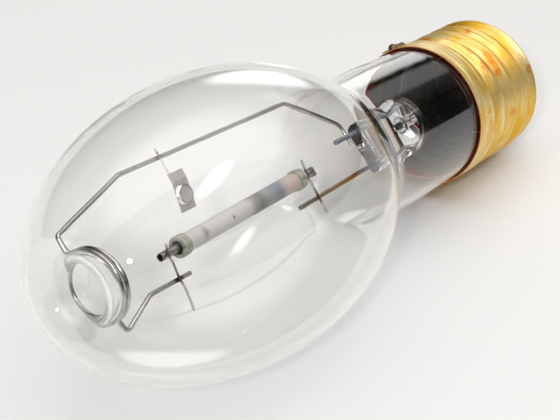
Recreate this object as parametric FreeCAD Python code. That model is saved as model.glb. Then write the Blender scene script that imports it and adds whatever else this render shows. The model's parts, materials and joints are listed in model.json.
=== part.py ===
import FreeCAD, Part
import math
import os

# Clear high pressure sodium lamp with an elliptical dimpled bulb and a mogul screw base.
# It is built along its own axis: z = 0 at the rim of the screw shell, the bulb upwards,
# the base below. The frame wire stands on the +x side and its flat lies along x and z.
# At the end the lamp is laid down as it comes to rest, on the bulb and one thread crest.

Vector = FreeCAD.Vector
AXIS = Vector(0, 0, 1)

# Bulb
bulb_radius = 37.3            # the widest ring, on which the lamp rests
bulb_centre_z = 91.2          # height of the widest ring above the shell's rim
dome_rise = 60.0              # from the widest ring up to the tip of the dome
shoulder_drop = 57.0          # from the widest ring down to where the shoulder would close
neck_radius = 20.0            # under the shoulder
neck_taper_z = 20.0           # the neck narrows from here down
neck_straight_z = 3.0         # and is straight again from here
neck_step_z = 5.0             # depth at which the neck steps in, below the rim
neck_step = 3.0               # height of that step
neck_depth = 16.0             # the glass ends this far below the rim
glass_wall = 1.3
shoulder_blend = 13.0         # hollow round between neck and shoulder

# Dimple in the dome
dimple_depth = 15.8           # from the dome's tip down to its closed end, on the side of the vacuum
dimple_floor_round = 4.5
dimple_lip = 3.0              # round of the fold between dome and dimple

# Fits
weld_gap = 0.02               # between two round wires that are welded where they cross
seat_gap = 0.15               # between a piece and what it slides onto

# Frame wire: one nickel plated steel wire, bent by hand round the arc tube
frame_wire_radius = 0.6
ring_radius = 8.7             # centre line of the turns that grip the dimple
ring_turns = 1.5
ring_above_floor = 4.0        # top of the ring over the dimple's closed end
ring_pitch = 1.75
ring_steps = 12               # arcs in one turn
corner_bend = 1.1             # the sharpest bends of the wire
soft_bend = 3.0               # the open bends of the wire
slow_bend = 9.0               # the slowest bends of the wire and the straps
frame_foot_x = 1.8            # end of the wire past the lead that carries it
frame_foot_z = 30.3
frame_step_x = 7.9            # first bend, above the lead
frame_knee_x = 12.4
frame_knee_z = 36.2
frame_low_rise = 12.0         # lower end of the long side, above where the shoulder would close
frame_glass_gap = 1.3         # and from its centre line in to the glass there
frame_side_lean = 1.2         # by which the long side leans outwards
frame_high_drop = 26.5        # upper end of the long side, below the ring's top
frame_top_reach = 5.6         # corner from which the wire turns in to the ring, outside the ring
frame_heel_reach = 3.9        # corner on the other side, where it leaves the ring
frame_heel_drop = 1.5         # and how far that corner lies under the ring's end
short_side_x = 7.7            # the short straight side, which carries the arc tube
short_side_drop = 11.8        # its upper end, under the heel
short_side_tail = 4.9         # its lower end, under the strap

# Leads: two tungsten rods through the glass press
lead_radius = 0.7
return_lead_radius = 0.62
lead_x = 4.15
return_lead_x = 5.95
return_lead_tip_x = 6.75
lead_bottom_z = 7.0
lead_top_z = 37.6
return_lead_bend_z = 34.0
return_lead_tail = 7.4        # above the strap that it carries
return_lead_bend = 12.0

# Glass stem: press, tube and flare in one, fused to the end of the neck
press_centre_x = -0.9
press_width = 15.4
press_thickness = 5.4
press_top_z = 27.6
press_bottom_z = 17.0
press_round = 2.2
press_top_round = 1.1
stem_radius = 8.2
stem_top_z = 10.0
flare_start_z = 3.0
flare_wall = 1.2
flare_seal = 1.2              # height of the ring where flare and neck are fused
flare_belly_out = 0.25        # where the flare passes, as shares of its width
flare_belly_up = 0.35         # and of its height
stem_crown = 2.5              # height of the domed ceiling inside the stem tube
exhaust_radius = 2.5
exhaust_wall = 0.9
exhaust_tip_z = -23.0
exhaust_port_radius = 1.1

# Arc tube: its axis leans a little from the lamp's own
arc_foot_x = 0.1
arc_foot_drop = 33.6          # from the bulb's widest ring down to the base end cap
arc_lean = 1.2                # degrees, towards the short side
arc_tube_radius = 2.4
arc_tube_wall = 0.55
arc_length = 50.6             # from the lower face of one cap to the upper face of the other
base_cap_wall = 0.35          # of each cap, outside the tube
base_cap_length = 2.8
dome_cap_wall = 0.45
dome_cap_length = 4.4
cap_round = 0.3
cap_overlap = 2.2             # length of tube inside each cap
plug_length = 2.6
frit_thickness = 0.5
niobium_radius = 1.05
niobium_wall = 0.15
niobium_inside = 2.4          # length of each niobium tube inside its plug
base_stub_length = 6.2        # below the base end cap, crimped at its end
dome_stub_length = 9.8        # above the dome end cap's floor, left open
crimp_length = 1.8
crimp_thickness = 1.0
crimp_spread = 0.8            # width of the crimp, as a share of half the tube's girth
crimp_round = 0.45            # round of its sides, as a share of its thickness
electrode_radius = 0.35
electrode_seat = 1.0          # length of the electrode inside its niobium tube
electrode_head = 0.8          # length of the pin head that fills the tube
electrode_reach = 6.5         # from the end of the niobium tube to the tip
coil_wire_radius = 0.2
coil_turns = 9
coil_press = 0.06             # by which its turns are pressed into each other
coil_bite = 0.01              # by which the coil's bore is cut to the rod
coil_tip_gap = 0.9
amalgam_radius = 0.45
amalgam_up = 30.6             # height of the droplet above the base end cap
amalgam_side = 75.0           # degrees from the short side round to the front

# Straps: thin wires that join the niobium tubes to the lead and the frame wire
strap_radius = 0.3
strap_bend = 1.8
base_strap_drop = 1.6         # under the base end cap
base_strap_start_x = 4.1
base_strap_start_sag = 0.9
base_strap_hump = 0.35
base_strap_hump_x = 3.7       # between the niobium tube and the lead
base_strap_end_x = 11.3
dome_strap_rise = 5.0         # above the dome end cap
dome_strap_start_x = 1.0
dome_strap_hump = 1.1
dome_strap_hump_x = 3.85      # between the niobium tube and the frame wire
dome_strap_weld_x = 0.6       # the strap lies flat on the frame wire from this far inside it
dome_strap_flat = 3.0         # to this far outside it
dome_strap_end_x = 16.0

# Getter on its own wire
getter_wire_radius = 0.22
getter_wire_rise = 7.2        # above the bulb's widest ring
getter_wire_tail = 2.4        # its outer end, outside the frame wire
getter_plate_reach = 4.9      # from the frame wire in to the outer edge of the plate
getter_tab_length = 2.4       # of the tab on the wire, up to the fold
getter_plate_drop = 1.6       # middle of the plate, under its wire
getter_plate_length = 7.8     # from the fold
getter_plate_width = 5.4
getter_plate_thickness = 0.3
getter_plate_turn = 16.0      # degrees by which the plate turns to the back at the fold
getter_cup_along = 3.8        # from the fold to the middle of the cup
getter_cup_radius = 2.4
getter_cup_wall = 0.35
getter_cup_height = 0.8
getter_fill_depth = 0.45

# Screw base: shell of thin brass with a rolled right-hand thread of 39 mm, 4 turns an inch
shell_sheet = 0.4
thread_crest_radius = 19.7
thread_depth = 1.75
thread_pitch = 6.35
thread_fade = 4.0             # length over which the thread starts and ends
thread_end_z = 32.0           # depth below the rim
rest_crest_rise = 4.4         # the crest that touches the bench, above the thread's end
skirt_step = 0.4              # by which the plain skirt stands outside the crests
skirt_length = 6.0
shell_turn_in = 3.0           # round at the bottom of the shell
shell_lip = 1.95              # width of the flat lip that the round runs into
shell_rings_per_turn = 6      # rings of poles along one pitch of the thread
shell_bend_rings = 4
shell_arcs = 16               # poles round the shell
insulator_inset = 1.6         # of its flange over the lip, from the mouth outwards
insulator_inside = 3.4
insulator_shoulder = 0.3      # its straight edge under the shell
insulator_cone_radius = 8.6
insulator_drop = 5.6          # below the shell
insulator_bore = 1.3
insulator_round = 0.8
contact_radius = 7.4
contact_thickness = 1.2
contact_round = 0.84
contact_solder_radius = 3.6
contact_solder_drop = 2.2
outer_wire_radius = 0.14
contact_wire_turn = 3.0       # it turns in to the axis round the tip of the exhaust tube
outer_wire_bend = 1.5
inner_wire_rise = 4.0         # the outer wire leaves the lead's foot this far above the neck's end
outer_wire_dip = 2.5          # and passes this far below it
step_bend = 0.6               # bends of the outer wire at the neck's step

# Shell joint: the outer wire is folded over the rim and soldered
shell_joint_angle = -5.0      # degrees round the axis from +x
shell_joint_rise = 2.4        # the fold stands this far above the rim
shell_joint_drop = 3.0        # the end lies this far down the skirt
solder_bead_radius = 1.4
solder_bead_angle = -9.5
solder_bead_z = -0.7
solder_tail_radius = 0.9      # the solder runs down the skirt to a smaller drop
solder_tail_angle = -14.5
solder_tail_z = -2.8
solder_trail_start = 1.12     # radius of the run between the two drops
solder_trail_end = 0.72

# How the lamp lies
mount_roll = 44.3             # degrees by which +x is turned from straight up

# What follows from these sizes
skirt_radius = thread_crest_radius + skirt_step
thread_root_radius = thread_crest_radius - thread_depth
shell_mouth_radius = thread_root_radius - shell_turn_in - shell_lip
rest_crest_z = thread_end_z - rest_crest_rise
wire_room = 2 * outer_wire_radius + weld_gap
dimple_floor_z = bulb_centre_z + dome_rise - dimple_depth
ring_top_z = dimple_floor_z + ring_above_floor
ring_end_z = ring_top_z - ring_pitch * ring_turns
frame_low_z = bulb_centre_z - shoulder_drop + frame_low_rise
frame_high_z = ring_top_z - frame_high_drop
frame_heel_z = ring_end_z - frame_heel_drop
arc_foot_z = bulb_centre_z - arc_foot_drop
base_strap_z = arc_foot_z - base_strap_drop
dome_strap_z = arc_foot_z + arc_length + dome_strap_rise
getter_wire_z = bulb_centre_z + getter_wire_rise
getter_plate_z = getter_wire_z - getter_plate_drop


def at(x, z, y=0.0):
    return Vector(x, y, z)


def upright(edge):
    return abs(edge.tangentAt(edge.FirstParameter).z) > 0.99


def polyline(points):
    pairs = zip(points[:-1], points[1:])
    return [Part.LineSegment(a, b).toShape() for a, b in pairs]


def turned(edges):
    """Turns a closed outline in the x-z plane round the lamp's axis."""
    face = Part.Face(Part.Wire(Part.__sortEdges__(edges)))
    return face.revolve(Vector(0, 0, 0), AXIS, 360)


def turned_points(points):
    return turned(polyline(points + points[:1]))


def rod(start, end, radius):
    run = end - start
    return Part.makeCylinder(radius, run.Length, start, run)


def tube(start, end, radius, wall):
    return rod(start, end, radius).cut(rod(start, end, radius - wall))


def fillet_rings(solid, radius, height, round_size, tolerance=0.05):
    """Rounds the circular edges of one radius and height about the axis."""
    picked = []
    for edge in solid.Edges:
        if edge.Degenerated or not isinstance(edge.Curve, Part.Circle):
            continue
        curve = edge.Curve
        if abs(curve.Radius - radius) < tolerance and abs(curve.Center.z - height) < tolerance:
            picked.append(edge)
    return solid.makeFillet(round_size, picked)


def bent_wire(points, bends, radius):
    """A round wire along straight runs, joined at each inner point by a tangent arc."""
    edges = []
    start = points[0]
    for before, corner, after, bend in zip(points, points[1:], points[2:], bends):
        into = (corner - before).normalize()
        out = (after - corner).normalize()
        half_turn = into.getAngle(out) / 2
        setback = bend * math.tan(half_turn)
        arc_start = corner - into * setback
        arc_end = corner + out * setback
        inward = (out - into).normalize()
        middle = corner + inward * (bend / math.cos(half_turn) - bend)
        if (arc_start - start).Length > 0.001:
            edges.append(Part.LineSegment(start, arc_start).toShape())
        edges.append(Part.Arc(arc_start, middle, arc_end).toShape())
        start = arc_end
    if (points[-1] - start).Length > 0.001:
        edges.append(Part.LineSegment(start, points[-1]).toShape())
    path = Part.Wire(edges)
    first_run = points[1] - points[0]
    section = Part.Wire([Part.Circle(points[0], first_run, radius).toShape()])
    return path.makePipeShell([section], True, False)


def neck_rim_radius():
    """The neck at the rim: the outer wire just passes between it and the shell."""
    return skirt_radius - shell_sheet - wire_room


def neck_end_radius():
    return thread_root_radius - shell_sheet - wire_room


def shoulder_meets(radius, inset):
    """Height at which the bulb's shoulder, moved in by inset, has this radius."""
    share = radius / (bulb_radius - inset)
    return bulb_centre_z - (shoulder_drop - inset) * math.sqrt(1 - share * share)


def ellipse_arc(across, along, start, end):
    """Arc of the bulb's ellipse between two points on it, the upper one first."""
    centre = at(0, bulb_centre_z)
    ellipse = Part.Ellipse(at(0, bulb_centre_z + along), at(across, bulb_centre_z), centre)
    first = ellipse.parameter(start)
    last = ellipse.parameter(end)
    return Part.ArcOfEllipse(ellipse, first, last).toShape()


def dimple_radius(inset):
    """Radius of the dimple: the ring of the frame wire slides onto its inner side."""
    grip = ring_radius - frame_wire_radius - seat_gap
    return grip - (glass_wall - inset)


def bulb_form(inset, bottom_z):
    """Solid form of the dimpled bulb and its neck, moved in by inset from the outside."""
    side = bulb_radius - inset
    neck = neck_radius - inset
    rim = neck_rim_radius() - inset
    end = neck_end_radius() - inset
    dimple = dimple_radius(inset)
    meet_z = shoulder_meets(neck, inset)
    floor_z = dimple_floor_z + glass_wall - inset
    share = dimple / side
    lip_z = bulb_centre_z + (dome_rise - inset) * math.sqrt(1 - share * share)
    lip = at(dimple, lip_z)
    widest = at(side, bulb_centre_z)
    meet = at(neck, meet_z)
    rest = [
        meet,
        at(neck, neck_taper_z),
        at(rim, neck_straight_z),
        at(rim, -neck_step_z),
        at(end, -neck_step_z - neck_step),
        at(end, bottom_z),
        at(0, bottom_z),
        at(0, floor_z),
        at(dimple, floor_z),
        lip,
    ]
    edges = polyline(rest)
    edges.append(ellipse_arc(side, dome_rise - inset, lip, widest))
    edges.append(ellipse_arc(side, shoulder_drop - inset, widest, meet))
    form = turned(edges)
    form = fillet_rings(form, neck, meet_z, shoulder_blend + inset)
    form = fillet_rings(form, dimple, floor_z, dimple_floor_round - glass_wall + inset)
    return fillet_rings(form, dimple, lip_z, dimple_lip - inset)


def outer_bulb():
    outside = bulb_form(0.0, -neck_depth)
    vacuum = bulb_form(glass_wall, -neck_depth - 1)
    return outside.cut(vacuum)


def flare_outline(inset, top_z):
    """Outline of the flared stem tube, open downwards, moved in by inset."""
    foot_radius = neck_end_radius() - glass_wall - inset
    waist_radius = stem_radius - inset
    foot_z = -neck_depth
    seal_z = foot_z + flare_seal
    reach = foot_radius - waist_radius
    drop = flare_start_z - seal_z
    waist = at(waist_radius, flare_start_z)
    belly = at(waist_radius + flare_belly_out * reach, seal_z + flare_belly_up * drop)
    seal = at(foot_radius, seal_z)
    curve = Part.BSplineCurve()
    curve.interpolate([waist, belly, seal], InitialTangent=at(0, -drop), FinalTangent=at(reach * 2, -drop))
    rest = [
        seal,
        at(foot_radius, foot_z),
        at(0, foot_z),
        at(0, top_z),
        at(waist_radius, top_z),
        waist,
    ]
    return [curve.toShape()] + polyline(rest)


def press_block():
    """The flat pinched part, drawn out from the round tube below it."""
    corner = at(
        press_centre_x - press_width / 2,
        press_bottom_z,
        -press_thickness / 2,
    )
    block = Part.makeBox(press_width, press_thickness, press_top_z - press_bottom_z, corner)
    block = block.makeFillet(press_round, list(filter(upright, block.Edges)))
    top = max(block.Faces, key=lambda face: face.CenterOfMass.z)
    block = block.makeFillet(press_top_round, top.Edges)
    bottom = min(block.Faces, key=lambda face: face.CenterOfMass.z)
    tube_top = Part.Wire([Part.Circle(at(0, stem_top_z), AXIS, stem_radius).toShape()])
    drawn = Part.makeLoft([tube_top, bottom.OuterWire], True)
    return block.fuse(drawn)


def stem_ceiling():
    return stem_top_z - flare_wall + stem_crown


def stem_glass():
    solid = turned(flare_outline(0.0, stem_top_z)).fuse(press_block())
    inner = stem_radius - flare_wall
    shoulder_z = stem_top_z - flare_wall
    hollow = turned(flare_outline(flare_wall, shoulder_z))
    crown = Part.makeSphere(inner, at(0, shoulder_z))
    slab = Part.makeCylinder(stem_radius, stem_crown, at(0, shoulder_z))
    hollow = hollow.fuse(crown.common(slab))
    solid = solid.cut(hollow)
    for piece in (frame_lead(), return_lead()):
        solid = solid.cut(piece)
    port_top = at(0, press_bottom_z - 1)
    port = rod(at(0, stem_ceiling() - 1), port_top, exhaust_port_radius)
    side_hole = rod(port_top, port_top + Vector(0, -stem_radius, 0), exhaust_port_radius)
    return solid.cut(port.fuse(side_hole))


def exhaust_tube():
    """Tube through which the lamp was pumped, sealed by a round tip inside the base."""
    top_z = stem_ceiling()
    tip_z = exhaust_tip_z + exhaust_radius
    solid = rod(at(0, tip_z), at(0, top_z), exhaust_radius)
    solid = solid.fuse(Part.makeSphere(exhaust_radius, at(0, tip_z)))
    bore = exhaust_radius - exhaust_wall
    hollow = rod(at(0, tip_z), at(0, top_z), bore).fuse(Part.makeSphere(bore, at(0, tip_z)))
    return solid.cut(hollow).removeSplitter()


def frame_lead():
    return rod(at(lead_x, lead_bottom_z), at(lead_x, lead_top_z), lead_radius)


def return_lead():
    points = [
        at(-return_lead_x, lead_bottom_z),
        at(-return_lead_x, return_lead_bend_z),
        at(-return_lead_tip_x, base_strap_z + return_lead_tail),
    ]
    return bent_wire(points, [return_lead_bend], return_lead_radius)


def frame_plane():
    """The frame wire lies behind the lead that it is welded to."""
    return lead_radius + frame_wire_radius + weld_gap


def ring_corners():
    """Corners of the runs round the dimple, whose arcs join into the turns of the ring."""
    step = 2 * math.pi / ring_steps
    count = round(ring_turns * ring_steps)
    corner_radius = ring_radius / math.cos(step / 2)
    corners = []
    for index in range(count):
        angle = -(index + 0.5) * step
        height = ring_top_z - ring_pitch * (index + 0.5) / ring_steps
        corners.append(at(corner_radius * math.cos(angle), height, corner_radius * math.sin(angle)))
    return corners


def long_side_x(z):
    """The long side of the frame wire: it starts just inside the shoulder and leans outwards."""
    share = (bulb_centre_z - frame_low_z) / (shoulder_drop - glass_wall)
    low_x = (bulb_radius - glass_wall) * math.sqrt(1 - share * share) - frame_glass_gap
    return low_x + frame_side_lean * (z - frame_low_z) / (frame_high_z - frame_low_z)


def frame_wire():
    y = frame_plane()
    points = [
        at(frame_foot_x, frame_foot_z, y),
        at(frame_step_x, frame_foot_z, y),
        at(frame_knee_x, frame_knee_z, y),
        at(long_side_x(frame_low_z), frame_low_z, y),
        at(long_side_x(frame_high_z), frame_high_z, y),
        at(ring_radius + frame_top_reach, ring_top_z, y),
        at(ring_radius, ring_top_z, y),
    ]
    bends = [soft_bend, slow_bend, soft_bend, soft_bend, corner_bend, corner_bend]
    ring = ring_corners()
    points += ring
    bends += [ring_radius] * len(ring)
    points += [
        at(-ring_radius, ring_end_z, y),
        at(-ring_radius - frame_heel_reach, frame_heel_z, y),
        at(-short_side_x, frame_heel_z - short_side_drop, y),
        at(-short_side_x, dome_strap_z - short_side_tail, y),
    ]
    bends += [corner_bend, corner_bend, soft_bend]
    return bent_wire(points, bends, frame_wire_radius)


def lean_arc_tube(piece):
    """Sets a piece that was made on the axis, up from zero, at its place in the arc tube."""
    place = FreeCAD.Placement(at(arc_foot_x, arc_foot_z), FreeCAD.Rotation(Vector(0, 1, 0), -arc_lean))
    piece.Placement = place
    return piece


def base_cap_floor():
    return base_cap_length - cap_overlap


def dome_cap_floor():
    """Height at which the upper end of the tube meets the dome end cap."""
    return arc_length - dome_cap_length + cap_overlap


def arc_tube():
    start = at(0, base_cap_floor())
    end = at(0, dome_cap_floor())
    return lean_arc_tube(tube(start, end, arc_tube_radius, arc_tube_wall))


def bored_cap(wall, start, end, socket_start, socket_end):
    """A ceramic collar: a socket for the tube, and a narrower bore through the rest."""
    radius = arc_tube_radius + wall
    cap = rod(at(0, start), at(0, end), radius)
    cap = fillet_rings(cap, radius, start, cap_round)
    cap = fillet_rings(cap, radius, end, cap_round)
    socket = rod(at(0, socket_start), at(0, socket_end), arc_tube_radius)
    bore = rod(at(0, start - 1), at(0, end + 1), arc_tube_radius - arc_tube_wall)
    return cap.cut(socket).cut(bore)


def base_end_cap():
    cap = bored_cap(base_cap_wall, 0, base_cap_length, base_cap_floor(), base_cap_length + 1)
    return lean_arc_tube(cap)


def dome_end_cap():
    start = arc_length - dome_cap_length
    cap = bored_cap(dome_cap_wall, start, arc_length, start - 1, dome_cap_floor())
    return lean_arc_tube(cap)


def plug(start):
    inner = arc_tube_radius - arc_tube_wall
    return tube(at(0, start), at(0, start + plug_length), inner, inner - niobium_radius)


def base_end_plug():
    return lean_arc_tube(plug(frit_thickness))


def dome_end_plug():
    return lean_arc_tube(plug(dome_cap_floor() - plug_length))


def frit(start):
    outer = arc_tube_radius - arc_tube_wall
    return tube(at(0, start), at(0, start + frit_thickness), outer, outer - niobium_radius)


def base_end_frit():
    return lean_arc_tube(frit(0))


def dome_end_frit():
    return lean_arc_tube(frit(dome_cap_floor()))


def base_niobium_tube():
    """The lower niobium tube, pinched flat at its end to hold the dose in."""
    top = frit_thickness + niobium_inside
    straight = tube(at(0, -base_stub_length + crimp_length), at(0, top), niobium_radius, niobium_wall)
    half = niobium_radius * math.pi / 2 * crimp_spread
    crimp = Part.makeBox(
        2 * half,
        crimp_thickness,
        crimp_length,
        at(-half, -base_stub_length, -crimp_thickness / 2),
    )
    crimp = crimp.makeFillet(crimp_thickness * crimp_round, list(filter(upright, crimp.Edges)))
    return lean_arc_tube(straight.fuse(crimp))


def dome_niobium_tube():
    start = dome_cap_floor() - niobium_inside
    end = dome_cap_floor() + dome_stub_length
    return lean_arc_tube(tube(at(0, start), at(0, end), niobium_radius, niobium_wall))


def electrode_span(at_base):
    """Foot and tip of an electrode: it stands in the end of its niobium tube."""
    if at_base:
        foot = frit_thickness + niobium_inside - electrode_seat
        return foot, foot + electrode_seat + electrode_reach
    foot = dome_cap_floor() - niobium_inside + electrode_seat
    return foot, foot - electrode_seat - electrode_reach


def electrode(at_base):
    """Tungsten rod with a pin head that fills the end of the niobium tube."""
    foot, tip = electrode_span(at_base)
    way = 1 if tip > foot else -1
    head = rod(at(0, foot), at(0, foot + way * electrode_head), niobium_radius - niobium_wall)
    return lean_arc_tube(rod(at(0, foot), at(0, tip), electrode_radius).fuse(head))


def electrode_coil(at_base):
    """Close-wound tungsten coil, whose turns touch, slid onto the rod behind its tip."""
    tip = electrode_span(at_base)[1]
    way = -1 if at_base else 1
    start = tip + way * (coil_tip_gap + coil_wire_radius)
    middle_radius = electrode_radius + coil_wire_radius - coil_bite
    pitch = 2 * coil_wire_radius - coil_press
    heights = [start + way * turn * pitch for turn in range(coil_turns)]
    rings = [Part.makeTorus(middle_radius, coil_wire_radius, at(0, height)) for height in heights]
    bore = rod(at(0, tip), at(0, heights[-1] + way * pitch), electrode_radius)
    return lean_arc_tube(rings[0].multiFuse(rings[1:]).cut(bore))


def amalgam_droplet():
    """Sodium amalgam, a drop on the wall of the arc tube."""
    offset = arc_tube_radius - arc_tube_wall - amalgam_radius
    centre = round_axis(180 + amalgam_side, offset, amalgam_up)
    return lean_arc_tube(Part.makeSphere(amalgam_radius, centre))


def arc_axis_x(z):
    return arc_foot_x - (z - arc_foot_z) * math.tan(math.radians(arc_lean))


def base_end_strap():
    over_tube = -(niobium_radius + strap_radius + weld_gap)
    over_lead = -(return_lead_radius + strap_radius + weld_gap)
    points = [
        at(base_strap_start_x, base_strap_z - base_strap_start_sag, over_tube),
        at(arc_axis_x(base_strap_z), base_strap_z, over_tube),
        at(-base_strap_hump_x, base_strap_z + base_strap_hump, over_tube),
        at(-return_lead_tip_x, base_strap_z, over_lead),
        at(-base_strap_end_x, base_strap_z, over_lead),
    ]
    return bent_wire(points, [soft_bend, soft_bend, soft_bend], strap_radius)


def dome_end_strap():
    over_tube = -(niobium_radius + strap_radius + weld_gap)
    over_wire = frame_plane() - frame_wire_radius - strap_radius - weld_gap
    humped_z = dome_strap_z + dome_strap_hump
    points = [
        at(dome_strap_start_x, dome_strap_z, over_tube),
        at(arc_axis_x(dome_strap_z), humped_z, over_tube),
        at(-dome_strap_hump_x, humped_z, over_tube),
        at(-short_side_x + dome_strap_weld_x, dome_strap_z, over_wire),
        at(-short_side_x - dome_strap_flat, dome_strap_z, over_wire),
        at(-dome_strap_end_x, humped_z, over_wire),
    ]
    return bent_wire(points, [strap_bend, strap_bend, strap_bend, slow_bend], strap_radius)


def getter_wire_plane():
    return frame_plane() - frame_wire_radius - getter_wire_radius - weld_gap


def getter_plate_edge_x():
    return long_side_x(getter_wire_z) - getter_plate_reach


def getter_fold_x():
    return getter_plate_edge_x() - getter_tab_length


def getter_wire():
    y = getter_wire_plane()
    outer_end = at(long_side_x(getter_wire_z) + getter_wire_tail, getter_wire_z, y)
    return rod(outer_end, at(getter_fold_x() + getter_wire_radius, getter_wire_z, y), getter_wire_radius)


def getter_faces():
    """The back of the tab, which lies on its wire, and its front."""
    back = getter_wire_plane() - getter_wire_radius - weld_gap
    return back, back - getter_plate_thickness


def getter_plate():
    """Stamped plate: a tab on its wire, a fold, and a round cup open to the front."""
    turn = math.radians(getter_plate_turn)
    back, face = getter_faces()
    run = Vector(-getter_plate_length * math.cos(turn), getter_plate_length * math.sin(turn), 0)
    bottom = getter_plate_z - getter_plate_width / 2
    fold = at(getter_fold_x(), bottom, face)
    through = Vector(math.sin(turn), math.cos(turn), 0) * getter_plate_thickness
    back_fold_x = getter_fold_x() + getter_plate_thickness * math.tan(turn / 2)
    corners = [
        at(getter_plate_edge_x(), bottom, face),
        fold,
        fold + run,
        fold + run + through,
        at(back_fold_x, bottom, back),
        at(getter_plate_edge_x(), bottom, back),
    ]
    outline = Part.Wire(polyline(corners + corners[:1]))
    plate = Part.Face(outline).extrude(Vector(0, 0, getter_plate_width))
    well = getter_disc(getter_cup_radius - getter_cup_wall, getter_cup_height)
    return plate.fuse(getter_disc(getter_cup_radius, getter_cup_height)).cut(well)


def getter_disc(radius, height):
    """A disc that stands on the plate's front face, in the middle of the cup."""
    turn = math.radians(getter_plate_turn)
    away = Vector(-math.cos(turn), math.sin(turn), 0)
    front = Vector(-math.sin(turn), -math.cos(turn), 0)
    middle = at(getter_fold_x(), getter_plate_z, getter_faces()[1]) + away * getter_cup_along
    return Part.makeCylinder(radius, height, middle, front)


def getter_fill():
    """Pressed getter powder, with its face below the rim of the cup."""
    return getter_disc(getter_cup_radius - getter_cup_wall, getter_fill_depth)


def thread_wave(angle, depth):
    """Share of the thread's height, from -1 at a root to 1 at a crest."""
    rest_angle = math.radians(180 - mount_roll)
    turns = (rest_crest_z - depth) / thread_pitch
    return math.cos(2 * math.pi * turns - (angle - rest_angle))


def smooth_step(value):
    share = min(1.0, max(0.0, value))
    return share * share * (3 - 2 * share)


def shell_radius(angle, depth):
    """Outer radius of the screw shell, at an angle and a depth below its rim."""
    middle = (thread_crest_radius + thread_root_radius) / 2
    height = (thread_crest_radius - thread_root_radius) / 2
    starts = smooth_step((depth - skirt_length) / thread_fade)
    ends = smooth_step((thread_end_z - depth) / thread_fade)
    centre = skirt_radius + (middle - skirt_radius) * starts
    centre += (thread_root_radius - middle) * (1 - ends)
    swell = height / spline_share(shell_rings_per_turn)
    return centre + swell * starts * ends * thread_wave(angle, depth)


def spline_share(poles_per_turn):
    """Share of a wave's height that a smooth surface keeps between poles set on the wave."""
    return (2 + math.cos(2 * math.pi / poles_per_turn)) / 3


def shell_stations(inset):
    """Depths along the shell and the shrink of its radius, down through the turned-in round."""
    count = round(thread_end_z / thread_pitch * shell_rings_per_turn)
    stations = [(thread_end_z * index / count, inset) for index in range(count + 1)]
    bend = shell_turn_in - inset
    for index in range(1, shell_bend_rings + 1):
        angle = math.pi / 2 * index / shell_bend_rings
        shrink = inset + bend * (1 - math.cos(angle))
        stations.append((thread_end_z + bend * math.sin(angle), shrink))
    return stations


def shell_skin(inset):
    """One side of the shell: a smooth surface that closes round the axis, from its poles."""
    stations = shell_stations(inset)
    poles = []
    for step in range(shell_arcs):
        angle = 2 * math.pi * (step - 1) / shell_arcs
        line = []
        for depth, shrink in stations:
            radius = (shell_radius(angle, depth) - shrink) / spline_share(shell_arcs)
            line.append(Vector(radius * math.cos(angle), radius * math.sin(angle), -depth))
        poles.append(line)
    spans = len(stations) - 3
    surface = Part.BSplineSurface()
    surface.buildFromPolesMultsKnots(
        poles,
        [1] * (shell_arcs + 1),
        [4] + [1] * (spans - 1) + [4],
        list(range(shell_arcs + 1)),
        list(range(spans + 1)),
        True,
        False,
        3,
        3,
    )
    return surface


def mouth_edge(depth):
    return Part.Circle(at(0, -depth), AXIS, shell_mouth_radius).toShape()


def screw_shell():
    """Brass shell with a rolled thread: inner and outer skins follow the same wave."""
    bottom = thread_end_z + shell_turn_in
    outer = shell_skin(0.0)
    inner = shell_skin(shell_sheet)
    top, outer_end = outer.bounds()[2:]
    inner_end = inner.bounds()[3]
    loop = [
        outer.vIso(outer_end).toShape(),
        mouth_edge(bottom),
        mouth_edge(bottom - shell_sheet),
        inner.vIso(inner_end).toShape(),
    ]
    faces = [outer.toShape(), inner.toShape()]
    faces.append(Part.makeRuledSurface(inner.vIso(top).toShape(), outer.vIso(top).toShape()))
    faces += [Part.makeRuledSurface(a, b) for a, b in zip(loop, loop[1:])]
    skin = Part.Compound(faces)
    skin.sewShape()
    solid = Part.Solid(skin.Shells[0])
    if solid.Volume < 0:
        solid.reverse()
    return solid


def base_insulator():
    """Black glass in the bottom of the shell, between the shell and the contact."""
    shell_z = -thread_end_z - shell_turn_in
    lip_z = shell_z + shell_sheet
    flange = shell_mouth_radius + insulator_inset
    mouth = shell_mouth_radius - seat_gap
    bottom = contact_top()
    outline = [
        at(insulator_bore, lip_z + insulator_inside),
        at(flange, lip_z + insulator_inside),
        at(flange, lip_z),
        at(mouth, lip_z),
        at(mouth, shell_z - insulator_shoulder),
        at(insulator_cone_radius, bottom),
        at(insulator_bore, bottom),
    ]
    return fillet_rings(turned_points(outline), insulator_cone_radius, bottom, insulator_round)


def contact_top():
    return -thread_end_z - shell_turn_in - insulator_drop


def centre_contact():
    """Brass eyelet under the insulator, with a rolled edge and a hole for the wire."""
    top = contact_top()
    disc = Part.makeCylinder(contact_radius, contact_thickness, at(0, top - contact_thickness))
    disc = fillet_rings(disc, contact_radius, top - contact_thickness, contact_round)
    return disc.cut(rod(at(0, top + 1), at(0, top - contact_thickness - 1), outer_wire_radius + seat_gap))


def contact_solder():
    """Low dome of solder over the end of the wire."""
    base_z = contact_top() - contact_thickness
    radius = (contact_solder_radius ** 2 + contact_solder_drop ** 2) / (2 * contact_solder_drop)
    ball = Part.makeSphere(radius, at(0, base_z - contact_solder_drop + radius))
    size = 4 * radius
    below = Part.makeBox(size, size, size, at(-size / 2, base_z - size, -size / 2))
    return ball.common(below)


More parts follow.
